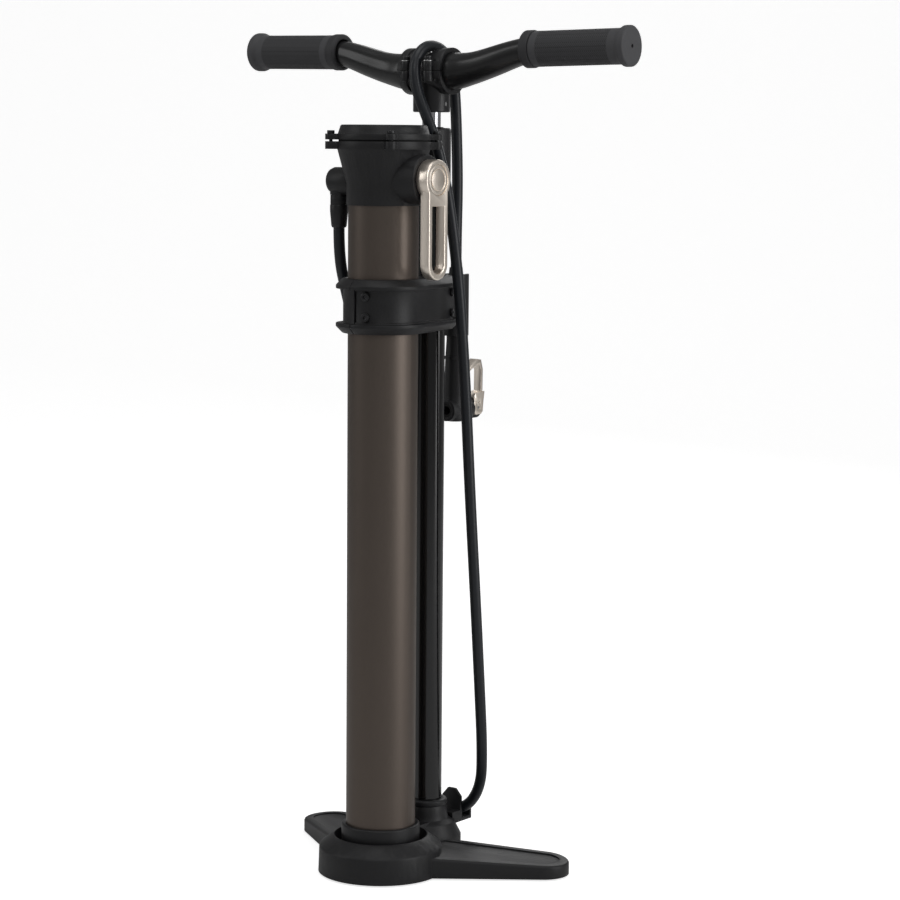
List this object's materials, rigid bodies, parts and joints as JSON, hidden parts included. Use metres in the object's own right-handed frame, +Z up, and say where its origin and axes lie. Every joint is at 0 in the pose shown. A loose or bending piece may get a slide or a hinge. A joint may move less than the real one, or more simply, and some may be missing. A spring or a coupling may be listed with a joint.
{
  "type": "floor bike pump",
  "caption": "Floor bike pump with a large air chamber, slim pump barrel, T handle, top gauge, valve lever and a hose stowed over the handle.",
  "frame": {"origin": "on the floor under the axis of the pump barrel and its rod", "axes": "+Z up along the rod, +X towards the right grip, -Y the front, where the air chamber stands"},
  "size_m": [0.4004, 0.1965, 0.7282],
  "materials": {
    "satin_bronze": "satin anodised",
    "charcoal_nylon": "fine-grained satin moulding",
    "gloss_black_tube": "gloss black",
    "satin_black_bar": "satin black",
    "black_alloy": "satin black",
    "nickel": "satin champagne nickel",
    "steel": "machined",
    "black_screw": "black oxide",
    "bright_rod": "polished",
    "brass_part": "turned",
    "grip_rubber": "fine herringbone knurl",
    "hose_rubber": "satin",
    "foot_rubber": "matte",
    "seal_rubber": "matte",
    "acetal": "turned",
    "clear_lens": "clear",
    "dial_face": "printed white",
    "needle_red": "satin red"
  },
  "bodies": {
    "pump": {"base": "charcoal_nylon", "foot_pads": "foot_rubber", "base_screws": "steel", "hose_guide": "charcoal_nylon", "chamber_tube": "satin_bronze", "chamber_collar": "charcoal_nylon", "chamber_foot_seal": "seal_rubber", "chamber_top_seal": "seal_rubber", "barrel_tube": "gloss_black_tube", "barrel_collar": "charcoal_nylon", "barrel_cap": "charcoal_nylon", "barrel_plug": "brass_part", "check_ball": "steel", "check_spring": "steel", "rod_bush": "acetal", "rod_wiper": "seal_rubber", "head_body": "charcoal_nylon", "gauge_cover": "charcoal_nylon", "flange_gasket": "seal_rubber", "gauge_lens": "clear_lens", "gauge_case": "brass_part", "gauge_dial": "dial_face", "gauge_movement": "brass_part", "flange_screws": "black_screw", "hose_elbow": "charcoal_nylon", "elbow_swivel": "charcoal_nylon", "hose_ferrule": "black_alloy", "bracket_left": "charcoal_nylon", "bracket_right": "charcoal_nylon", "bracket_screws": "black_screw", "chuck_holster": "charcoal_nylon", "chuck_body": "charcoal_nylon", "chuck_seal": "seal_rubber", "chuck_ring": "steel", "lever_pin": "steel", "hose": "hose_rubber"},
    "handle": {"piston_rod": "bright_rod", "piston": "acetal", "piston_seal": "seal_rubber", "piston_nut": "steel", "stem": "black_alloy", "stem_pin": "steel", "clamp_cap_left": "black_alloy", "clamp_cap_right": "black_alloy", "clamp_bolts": "black_screw", "clamp_washers": "steel", "handlebar": "satin_black_bar", "grip_right": "grip_rubber", "grip_left": "grip_rubber", "grip_ring_right": "charcoal_nylon", "grip_ring_left": "charcoal_nylon"},
    "lever": {"valve_lever": "nickel", "lever_cap": "nickel", "lever_screw": "steel", "valve_spool": "brass_part", "spool_seals": "seal_rubber"},
    "needle": {"gauge_needle": "needle_red"},
    "thumb_lever": {"chuck_lever": "nickel"}
  },
  "joints": [
    {"name": "handle_slide", "type": "slide", "parent": "pump", "child": "handle", "axis": [0, 0, 1], "range_m": [0, 0.5], "deforming": ["hose"]},
    {"name": "lever_turn", "type": "hinge", "parent": "pump", "child": "lever", "pos_m": [0, -0.0675, 0.6], "axis": [1, 0, 0], "range_deg": [-90, 0]},
    {"name": "needle_turn", "type": "hinge", "parent": "pump", "child": "needle", "pos_m": [0, -0.0675, 0.638], "axis": [0, 0, 1], "range_deg": [-270, 0], "stiffness_Nm_per_rad": 0.002},
    {"name": "thumb_turn", "type": "hinge", "parent": "pump", "child": "thumb_lever", "pos_m": [0, 0.066, 0.396], "axis": [-1, 0, 0], "range_deg": [0, 90]}
  ]
}
